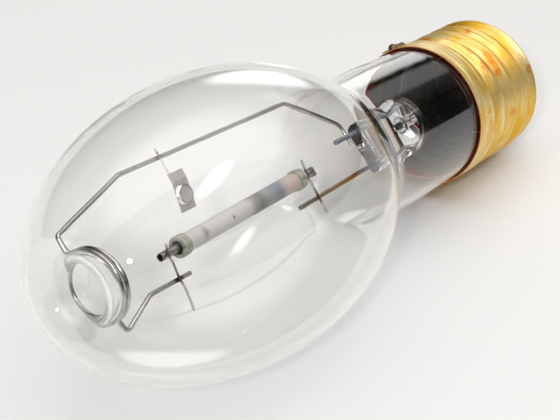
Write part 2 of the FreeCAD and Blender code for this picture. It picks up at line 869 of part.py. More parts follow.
def contact_wire():
    """From the foot of the return lead, past the exhaust tube, to the centre contact."""
    start = at(-return_lead_x, lead_bottom_z)
    end = at(0, contact_top() - contact_thickness)
    points = [
        start,
        at(-return_lead_x, exhaust_tip_z + contact_wire_turn),
        at(0, exhaust_tip_z - 2 * contact_wire_turn),
        end,
    ]
    return bent_wire(points, [soft_bend, soft_bend], outer_wire_radius)


def shell_wire():
    """From the foot of the frame lead, round the end of the glass, up and over the rim."""
    beside_end = neck_end_radius() + wire_room / 2
    beside_rim = neck_rim_radius() + wire_room / 2
    outside = skirt_radius + outer_wire_radius + weld_gap
    flat = [
        at(lead_x, lead_bottom_z),
        at(lead_x, -neck_depth + inner_wire_rise),
        at(beside_end, -neck_depth - outer_wire_dip),
        at(beside_end, -neck_step_z - neck_step - wire_room / 2),
        at(beside_rim, -neck_step_z - wire_room / 2),
        at(beside_rim, shell_joint_rise),
        at(outside, shell_joint_rise),
        at(outside, -shell_joint_drop),
    ]
    fold = (outside - beside_rim) / 2 - weld_gap
    points = flat[:2] + [round_axis(shell_joint_angle, p.x, p.z) for p in flat[2:]]
    bends = [outer_wire_bend, outer_wire_bend, step_bend, step_bend, fold, fold]
    return bent_wire(points, bends, outer_wire_radius)


def round_axis(degrees, radius, z):
    angle = math.radians(degrees)
    return Vector(radius * math.cos(angle), radius * math.sin(angle), z)


def side_solder():
    """Solder that holds the folded wire to the skirt at the rim, run down to a drop."""
    bead = round_axis(solder_bead_angle, skirt_radius, solder_bead_z)
    tail = round_axis(solder_tail_angle, skirt_radius, solder_tail_z)
    drop = Part.makeSphere(solder_bead_radius, bead)
    drop = drop.fuse(Part.makeSphere(solder_tail_radius, tail))
    run = tail - bead
    trail = Part.makeCone(solder_trail_start, solder_trail_end, run.Length, bead, run)
    drop = drop.fuse(trail)
    drop = drop.cut(Part.makeCylinder(skirt_radius, 2 * skirt_radius, at(0, -skirt_radius)))
    return drop.cut(shell_wire())


def resting_tilt():
    """Slope of the axis when the bulb and the resting crest both touch the bench."""
    run = bulb_centre_z + rest_crest_z
    square = run * run - shoulder_drop * shoulder_drop
    product = thread_crest_radius * run
    gap = thread_crest_radius ** 2 - bulb_radius ** 2
    slope = (-product + math.sqrt(product * product - square * gap)) / square
    return math.atan(slope)


def laid_down(pieces):
    """Rolls and tips the whole lamp into its rest, with the origin under its middle."""
    tilt = resting_tilt()
    roll = FreeCAD.Rotation(AXIS, mount_roll + 180)
    tip = FreeCAD.Rotation(Vector(0, 1, 0), 90 - math.degrees(tilt))
    turn = FreeCAD.Placement(Vector(0, 0, 0), tip.multiply(roll))
    box = FreeCAD.BoundBox()
    for name in ("outer_bulb", "screw_shell", "contact_solder"):
        moved = pieces[name].copy()
        moved.Placement = turn.multiply(moved.Placement)
        box.add(moved.optimalBoundingBox(False, False))
    rise = math.sqrt((bulb_radius * math.cos(tilt)) ** 2 + (shoulder_drop * math.sin(tilt)) ** 2)
    floor_z = bulb_centre_z * math.sin(tilt) - rise
    middle = Vector(-box.Center.x, -box.Center.y, -floor_z)
    rest = FreeCAD.Placement(middle, turn.Rotation)
    for piece in pieces.values():
        piece.Placement = rest.multiply(piece.Placement)
    return pieces


def make_all():
    makers = (
        outer_bulb,
        stem_glass,
        exhaust_tube,
        frame_lead,
        return_lead,
        frame_wire,
        getter_wire,
        getter_plate,
        getter_fill,
        arc_tube,
        base_end_cap,
        dome_end_cap,
        base_end_plug,
        dome_end_plug,
        base_end_frit,
        dome_end_frit,
        base_niobium_tube,
        dome_niobium_tube,
        amalgam_droplet,
        base_end_strap,
        dome_end_strap,
        screw_shell,
        base_insulator,
        centre_contact,
        contact_solder,
        contact_wire,
        shell_wire,
        side_solder,
    )
    pieces = {maker.__name__: maker() for maker in makers}
    for end in ("base", "dome"):
        at_base = end == "base"
        pieces[end + "_electrode"] = electrode(at_base)
        pieces[end + "_electrode_coil"] = electrode_coil(at_base)
    return pieces


os.makedirs("parts", exist_ok=True)
for name, piece in laid_down(make_all()).items():
    piece.exportStep("parts/" + name + ".step")
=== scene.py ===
"""Looks of a clear high pressure sodium lamp: an add-on with one operator for each group of pieces."""

import json
import math

import bmesh
import bpy
from bpy.props import FloatProperty, FloatVectorProperty, PointerProperty
from mathutils import Matrix, Vector


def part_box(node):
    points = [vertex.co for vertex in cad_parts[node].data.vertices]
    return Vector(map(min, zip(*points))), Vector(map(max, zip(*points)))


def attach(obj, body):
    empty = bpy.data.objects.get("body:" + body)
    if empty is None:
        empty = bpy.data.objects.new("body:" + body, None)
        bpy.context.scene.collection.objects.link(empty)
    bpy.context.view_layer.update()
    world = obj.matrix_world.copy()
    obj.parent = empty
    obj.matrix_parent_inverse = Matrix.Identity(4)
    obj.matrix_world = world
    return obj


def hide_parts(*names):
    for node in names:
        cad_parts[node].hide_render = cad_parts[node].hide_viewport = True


bl_info = {
    "name": "Sodium Lamp",
    "version": (1, 0, 0),
    "blender": (4, 2, 0),
    "location": "View3D > Sidebar > Lamp",
    "description": "Dresses a clear high pressure sodium lamp and lights it on a pale table",
    "category": "Object",
}

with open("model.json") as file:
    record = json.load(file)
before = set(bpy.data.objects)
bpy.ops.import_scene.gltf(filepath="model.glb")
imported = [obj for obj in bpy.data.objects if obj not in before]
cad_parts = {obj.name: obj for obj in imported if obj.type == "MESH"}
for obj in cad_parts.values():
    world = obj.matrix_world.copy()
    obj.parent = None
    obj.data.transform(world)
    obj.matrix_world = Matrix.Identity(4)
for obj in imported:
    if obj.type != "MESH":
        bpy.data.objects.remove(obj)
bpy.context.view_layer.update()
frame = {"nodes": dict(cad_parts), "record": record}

MM = 0.001

# How the lamp and the arc tube in it lie, in millimetres and degrees.
BASE_LENGTH = 44.0
ROLL = 44.3
TUBE_LEAN = 1.2

# How finely the new pieces are divided.
BULB_STEPS = 160
RING_STEPS = 96
SHELL_STEPS = 180
SHELL_ROWS = 95
DOME_ROWS = 40
SHOULDER_ROWS = 30
BLEND_ROWS = 10
ROUND_ROWS = 8
EDGE_ROWS = 6
MERGE_DISTANCE = 1e-7
AXIS_RADIUS = 1e-6


def lamp_matrix():
    """Turns a point given along the lamp's own axes, from the middle of its rim, into the frame.

    The axes run with z from the base to the dome, and x towards the long side of the frame wire.
    """
    base = next(m for m in frame["record"]["mounts"] if m["name"] == "screw_base")
    along = -Vector(base["axis"]).normalized()
    up = (Vector((0, 0, 1)) - along * along.z).normalized()
    roll = math.radians(ROLL)
    across = up * math.cos(roll) + along.cross(up) * math.sin(roll)
    rim = Vector(base["pos_m"]) + along * BASE_LENGTH * MM
    turn = Matrix((across, along.cross(across), along)).transposed()
    return Matrix.Translation(rim) @ turn.to_4x4()


LAMP = lamp_matrix()


def millimetres(name, default, description):
    return FloatProperty(name=name, default=default * MM, description=description, unit="LENGTH", precision=5)


def colour(name, default, description):
    return FloatVectorProperty(
        name=name, default=default, description=description, subtype="COLOR", size=3, min=0, max=1
    )


class LampSizes(bpy.types.PropertyGroup):
    """Sizes of the bulb's glass, with heights from the rim of the screw base."""

    bulb_radius: millimetres("Bulb radius", 37.3, "Radius of the widest ring")
    bulb_centre: millimetres("Bulb centre", 91.2, "Height of the widest ring above the rim")
    dome_rise: millimetres("Dome rise", 60.0, "From the widest ring to the tip of the dome")
    shoulder_drop: millimetres("Shoulder drop", 57.0, "From the widest ring to where the shoulder would close")
    neck_radius: millimetres("Neck radius", 20.0, "Radius of the neck under the shoulder")
    neck_taper: millimetres("Neck taper", 20.0, "Height from which the neck narrows towards the base")
    neck_straight: millimetres("Neck straight", 3.0, "Height from which the neck is straight again")
    rim_radius: millimetres("Rim radius", 19.4, "Radius of the neck at the rim of the screw base")
    step_start: millimetres("Step start", 5.0, "Depth at which the neck steps in, below the rim")
    step_end: millimetres("Step end", 8.0, "Depth at which that step ends")
    end_radius: millimetres("End radius", 17.25, "Radius of the neck's end inside the base")
    neck_depth: millimetres("Neck depth", 16.0, "Depth of the neck's end below the rim")
    glass_wall: millimetres("Glass wall", 1.3, "Thickness of the glass")
    shoulder_blend: millimetres("Shoulder blend", 13.0, "Round between neck and shoulder")
    dimple_radius: millimetres("Dimple radius", 7.95, "Radius of the dimple on the side of the vacuum")
    dimple_floor: millimetres("Dimple floor", 135.4, "Height of the dimple's closed end")
    dimple_round: millimetres("Dimple round", 4.5, "Round at the dimple's closed end")
    dimple_lip: millimetres("Dimple lip", 6.0, "Round of the fold between dimple and dome")


class TubeSizes(bpy.types.PropertyGroup):
    """Sizes of the arc tube and its upper cap, with heights from its lower end cap."""

    foot: millimetres("Foot", 57.6, "Height of the lower cap above the rim")
    side: millimetres("Side", 0.1, "How far its foot stands from the lamp's axis")
    start: millimetres("Start", 0.6, "Lower end of the tube")
    end: millimetres("End", 50.9, "Upper end of the tube")
    radius: millimetres("Radius", 2.4, "Outer radius of the tube")
    bore: millimetres("Bore", 1.85, "Inner radius of the tube")
    cap_radius: millimetres("Cap radius", 2.78, "Outer radius of the upper cap")
    cap_hole: millimetres("Cap hole", 1.8, "Radius of the hole in the upper cap")
    cap_start: millimetres("Cap start", 48.7, "Lower face of the upper cap")
    cap_end: millimetres("Cap end", 51.6, "Upper face of the upper cap")
    cap_round: millimetres("Cap round", 0.3, "Round of the cap's edges")
    frit_top: millimetres("Frit top", 51.35, "Top of the black sealing glass")
    niobium_radius: millimetres("Niobium radius", 1.05, "Outer radius of the niobium tube")


class ShellSizes(bpy.types.PropertyGroup):
    """Sizes of the screw shell, with depths below its rim."""

    sheet: millimetres("Sheet", 0.4, "Thickness of the brass")
    skirt_radius: millimetres("Skirt radius", 20.1, "Radius of the plain skirt under the rim")
    skirt_length: millimetres("Skirt length", 6.0, "Length of the plain skirt")
    crest_radius: millimetres("Crest radius", 19.7, "Radius over the thread")
    root_radius: millimetres("Root radius", 17.95, "Radius in the bottom of the thread")
    pitch: millimetres("Pitch", 6.35, "Advance of the thread in one turn")
    start_length: millimetres("Start length", 4.0, "Length over which the thread starts")
    end_length: millimetres("End length", 1.9, "Length over which the thread runs out")
    thread_end: millimetres("Thread end", 33.3, "Depth of the thread's end below the rim")
    crest_depth: millimetres("Crest depth", 27.6, "Depth of the crest that lies on the table")
    turn_in: millimetres("Turn in", 1.9, "Round at the bottom of the shell")
    mouth_radius: millimetres("Mouth radius", 13.0, "Radius of the hole for the insulator")


class LampColours(bpy.types.PropertyGroup):
    """Colours of the finishes."""

    glass: colour("Glass", (0.998, 0.998, 0.996), "Tint of the clear glass")
    brass: colour("Brass", (0.80, 0.45, 0.01), "Yellow lacquered brass of the screw shell")
    brass_pale: colour("Brass pale", (0.96, 0.80, 0.40), "Brass where the lacquer has worn off")
    brass_stain: colour("Brass stain", (0.78, 0.26, 0.001), "Orange tarnish on the brass")
    # Painted shade: this darkened brass stands in for the shade inside the shell near its rim.
    shaded_brass_inside: colour("Brass inside", (0.24, 0.19, 0.07), "Inside of the screw shell, near its rim")
    brass_rim: colour("Brass rim", (0.50, 0.06, 0.05), "Cut edge of the screw shell")
    solder: colour("Solder", (0.45, 0.44, 0.42), "Dull solder")
    black_glass: colour("Black glass", (0.012, 0.012, 0.014), "Insulator of the base")
    wire: colour("Wire", (0.48, 0.47, 0.46), "Nickel plated wire")
    weld: colour("Weld", (0.055, 0.045, 0.04), "Dark patches on the wires")
    rod: colour("Rod", (0.40, 0.44, 0.50), "Bare tungsten rod")
    niobium: colour("Niobium", (0.40, 0.385, 0.37), "Ends of the arc tube")
    ceramic: colour("Ceramic", (0.86, 0.83, 0.80), "Translucent arc tube")
    frit: colour("Frit", (0.004, 0.005, 0.003), "Sealing glass")
    powder: colour("Powder", (0.24, 0.22, 0.21), "Getter powder")
    floor: colour("Floor", (0.85, 0.845, 0.84), "Pale table")


# Operations of the vector node that give a number, and how much shorter a blot is along z.
SCALAR_RESULTS = ("DISTANCE", "DOT_PRODUCT", "LENGTH")
SPOT_STRETCH = (1, 1, 1.9)


class Tree:
    """A node tree under construction: adds nodes and joins them by name."""

    def __init__(self, tree):
        self.nodes = tree.nodes
        self.links = tree.links

    def add(self, kind, inputs=(), **settings):
        node = self.nodes.new("ShaderNode" + kind)
        for key, value in settings.items():
            setattr(node, key, value)
        for key, value in dict(inputs).items():
            self.feed(node.inputs[key], value)
        return node

    def feed(self, socket, value):
        if isinstance(value, bpy.types.NodeSocket):
            self.links.new(value, socket)
        elif socket.type == "RGBA" and len(value) == 3:
            socket.default_value = (*value, 1)
        else:
            socket.default_value = value

    def maths(self, operation, first, second):
        return self.add("Math", {0: first, 1: second}, operation=operation).outputs["Value"]

    def vector_maths(self, operation, *operands):
        node = self.add("VectorMath", dict(enumerate(operands)), operation=operation)
        return node.outputs["Value" if operation in SCALAR_RESULTS else "Vector"]

    def spread(self, value, low, high, start=0.0, end=1.0, **settings):
        """Takes values between low and high to values between start and end."""
        inputs = {"Value": value, "From Min": low, "From Max": high, "To Min": start, "To Max": end}
        return self.add("MapRange", inputs, **settings).outputs["Result"]


class Shader(Tree):
    """A material under construction."""

    def __init__(self, name):
        self.material = bpy.data.materials.new(name)
        self.material.use_nodes = True
        super().__init__(self.material.node_tree)
        self.nodes.clear()
        self.output = self.add("OutputMaterial")

    def geometry(self, output):
        return self.add("NewGeometry").outputs[output]

    def place(self):
        """The point's place along the lamp's own axes, in metres."""
        inverse = LAMP.inverted()
        inputs = {
            "Vector": self.geometry("Position"),
            "Location": inverse.translation,
            "Rotation": inverse.to_euler(),
        }
        return self.add("Mapping", inputs).outputs["Vector"]

    def axis_parts(self):
        node = self.add("SeparateXYZ", {"Vector": self.place()})
        return node.outputs["X"], node.outputs["Y"], node.outputs["Z"]

    def join(self, x, y, z=0.0):
        return self.add("CombineXYZ", {"X": x, "Y": y, "Z": z}).outputs["Vector"]

    def drawn_out(self, x, y, z, share):
        """A place for noise that is drawn out round the lamp's axis, the more so the smaller the share."""
        return self.join(self.maths("MULTIPLY", x, share), self.maths("MULTIPLY", y, share), z)

    def noise(self, scale, detail=3, roughness=0.5, vector=None):
        inputs = {"Scale": scale, "Detail": detail, "Roughness": roughness}
        inputs["Vector"] = vector or self.place()
        return self.add("TexNoise", inputs).outputs["Fac"]

    def ramp(self, value, stops):
        node = self.add("ValToRGB", {"Fac": value})
        elements = node.color_ramp.elements
        while len(elements) < len(stops):
            elements.new(0.5)
        for element, (position, tone) in zip(elements, stops):
            element.position = position
            element.color = (*tone, 1) if hasattr(tone, "__len__") else (tone, tone, tone, 1)
        return node.outputs["Color"]

    def blend(self, share, first, second):
        node = self.add("Mix", data_type="RGBA")
        for index, value in ((0, share), (6, first), (7, second)):
            self.feed(node.inputs[index], value)
        return node.outputs[2]

    def bump(self, height, strength, distance):
        inputs = {"Height": height, "Strength": strength, "Distance": distance}
        return self.add("Bump", inputs).outputs["Normal"]

    def distance(self, point):
        """How far the surface lies from a point in the frame."""
        return self.vector_maths("DISTANCE", self.geometry("Position"), point)

    def spot(self, place, reach, wander):
        """A soft blot round a place along the lamp's axes, with a ragged edge, shorter along z."""
        ragged = self.spread(self.noise(420), 0, 1, -wander, wander)
        offset = self.vector_maths("SUBTRACT", self.place(), [value * MM for value in place])
        distance = self.vector_maths("LENGTH", self.vector_maths("MULTIPLY", offset, SPOT_STRETCH))
        return self.spread(self.maths("ADD", distance, ragged), 1.1 * reach * MM, 0.3 * reach * MM)

    def outward(self, x, y):
        """How far the surface faces away from the lamp's axis: 1 outwards, -1 inwards."""
        inputs = {"Vector": self.geometry("Normal"), "Rotation": LAMP.inverted().to_euler()}
        normal = self.add("Mapping", inputs, vector_type="NORMAL").outputs["Vector"]
        return self.vector_maths("DOT_PRODUCT", self.vector_maths("NORMALIZE", self.join(x, y)), normal)

    def surface(self, inputs):
        return self.finish(self.add("BsdfPrincipled", inputs).outputs["BSDF"])

    def finish(self, socket):
        self.links.new(socket, self.output.inputs["Surface"])
        return self.material


# The glass: how much light its shadow lets through, for the bulb, for the stem and where a wall is seen
# edge on, and the number of bounces after which a ray that is trapped in a wall goes straight on.
GLASS_IOR = 1.5
BULB_SHADE = 0.982
STEM_SHADE = 0.8
EDGE_SHADE = 0.55
TRAPPED_DEPTH = 7.0


def grey(level):
    return (level, level, level)


def clear_glass(colours, name="Clear glass", shade=BULB_SHADE):
    """Polished glass with faint waves. Its shadow is pale in the middle and darker where the wall is seen edge on."""
    shader = Shader(name)
    normal = shader.bump(shader.noise(45, detail=2), strength=0.05, distance=0.002)
    inputs = {"Color": colours.glass, "Roughness": 0.0, "IOR": GLASS_IOR, "Normal": normal}
    glass = shader.add("BsdfGlass", inputs).outputs["BSDF"]
    facing = shader.add("LayerWeight", {"Blend": 0.5}).outputs["Facing"]
    tone = shader.blend(shader.maths("POWER", facing, 3.0), grey(shade), grey(EDGE_SHADE))
    clear = shader.add("BsdfTransparent", {"Color": tone}).outputs["BSDF"]
    path = shader.add("LightPath").outputs
    soft = shader.maths("MAXIMUM", path["Is Shadow Ray"], path["Is Diffuse Ray"])
    trapped = shader.maths("GREATER_THAN", path["Ray Depth"], TRAPPED_DEPTH)
    mixed = shader.add("MixShader", {0: shader.maths("MAXIMUM", soft, trapped), 1: glass, 2: clear})
    return shader.finish(mixed.outputs["Shader"])


# Orange blots on the brass, each with its place along the lamp's axes and its reach, in millimetres, and how
# far their edges wander.
STAINS = (
    ((12.0, -15.1, -14.2), 1.7),
    ((9.2, -17.0, -11.7), 1.6),
    ((5.4, -18.5, -17.4), 2.2),
    ((2.6, -19.1, -17.1), 2.6),
    ((-0.3, -19.3, -16.7), 2.2),
    ((14.6, -12.6, -23.0), 2.0),
    ((17.8, -7.6, -10.0), 2.4),
)
STAIN_WANDER = 2.2 * MM

# The painted shade inside the shell, darkest deep down, and the heights over which it clears, and the cut edge's
# heights and radii.
INSIDE_SHADE = (0.012, 0.010, 0.006)
BROWN_INSIDE_SHADE = (0.05, 0.035, 0.012)
INSIDE_SHADE_HEIGHTS = (-13 * MM, -3 * MM)
RIM_HEIGHTS = (-4 * MM, -2 * MM)
RIM_RADII = (19.98 * MM, 19.90 * MM)


def brass(colours):
    """Rolled brass: pale crests, yellow lacquer in streaks round the axis, orange stains and painted shade on the
    inside, darker deeper in.
    """
    shader = Shader("Rolled brass")
    x, y, z = shader.axis_parts()
    fine = shader.noise(750, 3, 0.6, shader.drawn_out(x, y, z, 0.04))
    patches = shader.noise(210, 4, 0.6, shader.drawn_out(x, y, z, 0.3))
    yellow = shader.ramp(patches, [(0.40, 0.0), (0.62, 1.0)])
    tone = shader.blend(yellow, colours.brass_pale, colours.brass)
    tone = shader.blend(shader.spread(fine, 0.4, 0.6, end=0.5), tone, colours.brass)

    cloud = shader.noise(120, 4, 0.65)
    stained = shader.ramp(cloud, [(0.62, 0.0), (0.68, 0.8)])
    for place, reach in STAINS:
        stained = shader.maths("MAXIMUM", stained, shader.spot(place, reach, STAIN_WANDER))
    tone = shader.blend(stained, tone, colours.brass_stain)

    # Painted shade: faces turned towards the axis are darkened, most deeply below the rim, with a brown mottle.
    inside = shader.spread(shader.outward(x, y), -0.15, -0.45)
    inside_shade_tone = shader.blend(shader.ramp(cloud, [(0.45, 0.0), (0.7, 1.0)]), INSIDE_SHADE, BROWN_INSIDE_SHADE)
    inside_shade_tone = shader.blend(shader.spread(z, *INSIDE_SHADE_HEIGHTS), inside_shade_tone, colours.shaded_brass_inside)
    tone = shader.blend(inside, tone, inside_shade_tone)

    radius = shader.vector_maths("LENGTH", shader.join(x, y))
    edge = shader.spread(radius, *RIM_RADII)
    rim = shader.maths("MULTIPLY", shader.spread(z, *RIM_HEIGHTS), edge)
    tone = shader.blend(rim, tone, colours.brass_rim)
    rough = shader.spread(fine, 0.2, 0.8, start=0.28, end=0.42)
    return shader.surface(
        {
            "Base Color": tone,
            "Metallic": 0.62,
            "Roughness": shader.maths("ADD", rough, shader.maths("MULTIPLY", inside, 0.2)),
            "Coat Weight": 0.3,
            "Coat Roughness": 0.18,
            "Normal": shader.bump(fine, strength=0.9, distance=0.0005),
        }
    )


# Solids that are welded to each other, and the scorch that a weld leaves.
WELDED = (
    ("getter_wire", "frame_wire"),
    ("dome_end_strap", "frame_wire"),
    ("dome_end_strap", "dome_niobium_tube"),
    ("base_end_strap", "base_niobium_tube"),
    ("base_end_strap", "return_lead"),
)
WELD_BROWN = (0.10, 0.06, 0.03)
WELD_REACH = 1.9 * MM
WELD_CORE = 1.0 * MM
WELD_WANDER = 0.5 * MM


def meeting_point(first, second):
    """Where the corners of one solid of the frame come nearest to another solid."""
    nodes = frame["nodes"]
    closest = None
    for corner in nodes[first].data.vertices:
        place = nodes[second].closest_point_on_mesh(corner.co)[1]
        gap = (place - corner.co).length
        if closest is None or gap < closest[0]:
            closest = (gap, place)
    return closest[1]


def dull_metal(name, base, dark, scale=600, rough=(0.25, 0.5), amount=0.6, welds=()):
    """Satin metal with fine darker patches, and brown scorch marks where it is welded."""
    shader = Shader(name)
    grain = shader.noise(scale, 4, 0.6)
    tone = shader.blend(shader.ramp(grain, [(0.35, 0.0), (0.75, amount)]), base, dark)
    for place in welds:
        wander = shader.spread(grain, 0, 1, -WELD_WANDER, WELD_WANDER)
        offset = shader.maths("ADD", shader.distance(place), wander)
        tone = shader.blend(shader.spread(offset, WELD_REACH, WELD_CORE), tone, WELD_BROWN)
    return shader.surface(
        {
            "Base Color": tone,
            "Metallic": 1.0,
            "Roughness": shader.spread(grain, 0.3, 0.7, *rough),
            "Normal": shader.bump(grain, strength=0.2, distance=0.0001),
        }
    )


# Heat tints along the return lead, from the press to its tip, as shares of the height between two ends.
ROD_ENDS = (20 * MM, 65 * MM)
ROD_WANDER = 0.6 * MM
ROD_TINTS = (
    (0.00, (0.20, 0.20, 0.20)),
    (0.18, (0.16, 0.17, 0.19)),
    (0.25, (0.07, 0.12, 0.22)),
    (0.30, (0.015, 0.02, 0.10)),
    (0.345, (0.11, 0.012, 0.02)),
    (0.39, (0.26, 0.09, 0.015)),
    (0.48, (0.42, 0.22, 0.06)),
    (0.62, (0.40, 0.29, 0.17)),
    (1.00, (0.26, 0.24, 0.21)),
)


def heat_tinted():
    """Rod that was heated at the press: grey, blue, dark red, brown and straw towards its tip."""
    shader = Shader("Heat tinted rod")
    wander = shader.spread(shader.noise(500, detail=2), 0, 1, -ROD_WANDER, ROD_WANDER)
    height = shader.maths("ADD", shader.axis_parts()[2], wander)
    return shader.surface(
        {
            "Base Color": shader.ramp(shader.spread(height, *ROD_ENDS), ROD_TINTS),
            "Metallic": 1.0,
            "Roughness": 0.32,
            "Normal": shader.bump(shader.noise(1500), strength=0.2, distance=0.0001),
        }
    )


# Film and tints along the arc tube, from its base end, as shares of the height between two ends, and two
# marks on it, each with its place and its reach in millimetres, and how far its edge wanders.
TUBE_ENDS = (57 * MM, 107 * MM)
TUBE_WANDER = 2 * MM
TUBE_TINTS = (
    (0.00, (0.62, 0.50, 0.44)),
    (0.09, (0.85, 0.62, 0.50)),
    (0.17, (0.80, 0.68, 0.62)),
    (0.24, (0.28, 0.31, 0.38)),
    (0.33, (0.44, 0.44, 0.45)),
    (0.40, (0.24, 0.225, 0.205)),
    (0.46, (0.42, 0.40, 0.38)),
    (0.50, (0.78, 0.75, 0.73)),
    (0.75, "ceramic"),
    (1.00, (0.78, 0.76, 0.74)),
)
SMUDGE = ((-1.0, -2.4, 100.3), 2.4, 0.6 * MM)
SMUDGE_TONE = (0.47, 0.43, 0.42)
SPECK = ((-0.9, -2.4, 89.0), 0.75, 0.1 * MM)
SPECK_TONE = (0.07, 0.04, 0.02)


def arc_ceramic(colours):
    """Translucent alumina: a grey film by the electrodes and a rosy tint near the base end."""
    shader = Shader("Arc tube ceramic")
    wander = shader.spread(shader.noise(260), 0, 1, -TUBE_WANDER, TUBE_WANDER)
    height = shader.maths("ADD", shader.axis_parts()[2], wander)
    stops = [(share, colours.ceramic if tone == "ceramic" else tone) for share, tone in TUBE_TINTS]
    tone = shader.ramp(shader.spread(height, *TUBE_ENDS), stops)
    tone = shader.blend(shader.spot(*SMUDGE), tone, SMUDGE_TONE)
    tone = shader.blend(shader.spot(*SPECK), tone, SPECK_TONE)
    return shader.surface(
        {
            "Base Color": tone,
            "Roughness": 0.35,
            "Transmission Weight": 0.35,
            "Subsurface Weight": 0.3,
            "Subsurface Radius": (0.0012, 0.001, 0.0009),
            "Subsurface Scale": 1.0,
            "Normal": shader.bump(shader.noise(2500), strength=0.1, distance=0.0001),
        }
    )


def cap_ceramic():
    """Ceramic of the end caps, grey green from the frit that has wetted it."""
    shader = Shader("End cap ceramic")
    mottle = shader.noise(700, 4, 0.6)
    return shader.surface(
        {
            "Base Color": shader.blend(
                shader.ramp(mottle, [(0.35, 0.0), (0.7, 1.0)]), (0.48, 0.47, 0.40), (0.17, 0.18, 0.14)
            ),
            "Roughness": 0.4,
            "Normal": shader.bump(mottle, strength=0.2, distance=0.0001),
        }
    )


# Distances from the getter's powder between which the polished wall of its cup begins and ends.
CUP_BEGINS = (1.90 * MM, 2.00 * MM)
CUP_ENDS = (2.85 * MM, 2.70 * MM)


def getter_metal():
    """Warm grey plate with the polished wall of its cup, found by its distance from the powder."""
    shader = Shader("Getter plate")
    low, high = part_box("getter_fill")
    offset = shader.distance((low + high) / 2)
    wall = shader.maths("MULTIPLY", shader.spread(offset, *CUP_BEGINS), shader.spread(offset, *CUP_ENDS))
    grain = shader.noise(500, 4, 0.6)
    tone = shader.blend(shader.spread(grain, 0.3, 0.7), (0.58, 0.54, 0.51), (0.44, 0.40, 0.38))
    rough = shader.spread(grain, 0.3, 0.7, start=0.35, end=0.5)
    return shader.surface(
        {
            "Base Color": shader.blend(wall, tone, (0.93, 0.91, 0.88)),
            "Metallic": 1.0,
            "Roughness": shader.maths("SUBTRACT", rough, shader.maths("MULTIPLY", wall, 0.25)),
            "Normal": shader.bump(grain, strength=0.25, distance=0.0001),
        }
    )


def plain_gloss(name, base, variation, scale, rough, specular=0.5):
    """Non-metal with a fine change of tone."""
    shader = Shader(name)
    grain = shader.noise(scale, 4, 0.6)
    return shader.surface(
        {
            "Base Color": shader.blend(shader.ramp(grain, [(0.35, 0.0), (0.7, 1.0)]), base, variation),
            "Roughness": rough,
            "Specular IOR Level": specular,
            "Normal": shader.bump(grain, strength=0.15, distance=0.0001),
        }
    )


def dress(material, *nodes, angle=40):
    """Gives solids of the frame their finish and smooth shading up to an angle."""
    for node in nodes:
        mesh = frame["nodes"][node].data
        mesh.materials.clear()
        mesh.materials.append(material)
        for polygon in mesh.polygons:
            polygon.material_index = 0
        mesh.shade_smooth()
        mesh.set_sharp_from_angle(angle=math.radians(angle))


def link(piece):
    bpy.context.scene.collection.objects.link(piece)


def new_piece(name, build, angle):
    """A piece made from a finished bmesh, with smooth shading up to an angle."""
    bmesh.ops.recalc_face_normals(build, faces=build.faces)
    mesh = bpy.data.meshes.new(name)
    build.to_mesh(mesh)
    build.free()
    mesh.shade_smooth()
    mesh.set_sharp_from_angle(angle=math.radians(angle))
    piece = bpy.data.objects.new(name, mesh)
    link(piece)
    return piece


def at_angle(axis, angle, point):
    """The place of an outline's point, given at a radius and a height, when it is turned by an angle."""
    return axis @ Vector((point.x * math.cos(angle), point.x * math.sin(angle), point.y))


def turned_mesh(name, outline, axis=LAMP, steps=BULB_STEPS):
    """A piece made by turning an outline round an axis, by default the lamp's."""
    build = bmesh.new()
    rings = []
    for point in outline:
        count = 1 if point.x < AXIS_RADIUS else steps
        turns = [2 * math.pi * step / steps for step in range(count)]
        rings.append([build.verts.new(at_angle(axis, turn, point)) for turn in turns])
    for first, second in zip(rings, rings[1:]):
        for step in range(steps):
            after = (step + 1) % steps
            corners = [
                first[step % len(first)],
                first[after % len(first)],
                second[after % len(second)],
                second[step % len(second)],
            ]
            unique = list(dict.fromkeys(corners))
            if len(unique) > 2:
                build.faces.new(unique)
    bmesh.ops.remove_doubles(build, verts=build.verts, dist=MERGE_DISTANCE)
    return new_piece(name, build, 40)


def ellipse_point(side, rise, centre, angle):
    return Vector((side * math.sin(angle), centre + rise * math.cos(angle)))


def ellipse_normal(side, rise, angle):
    return Vector((rise * math.sin(angle), side * math.cos(angle))).normalized()


def solve(function, low, high):
    """Where a rising function passes zero."""
    for _ in range(60):
        middle = (low + high) / 2
        if function(middle) < 0:
            low = middle
        else:
            high = middle
    return (low + high) / 2


def arc_points(centre, radius, start, end, count):
    """Points on a circle from one angle to another, angles counted from the outward direction."""
    points = []
    for step in range(count + 1):
        angle = start + (end - start) * step / count
        points.append(centre + Vector((math.cos(angle), math.sin(angle))) * radius)
    return points


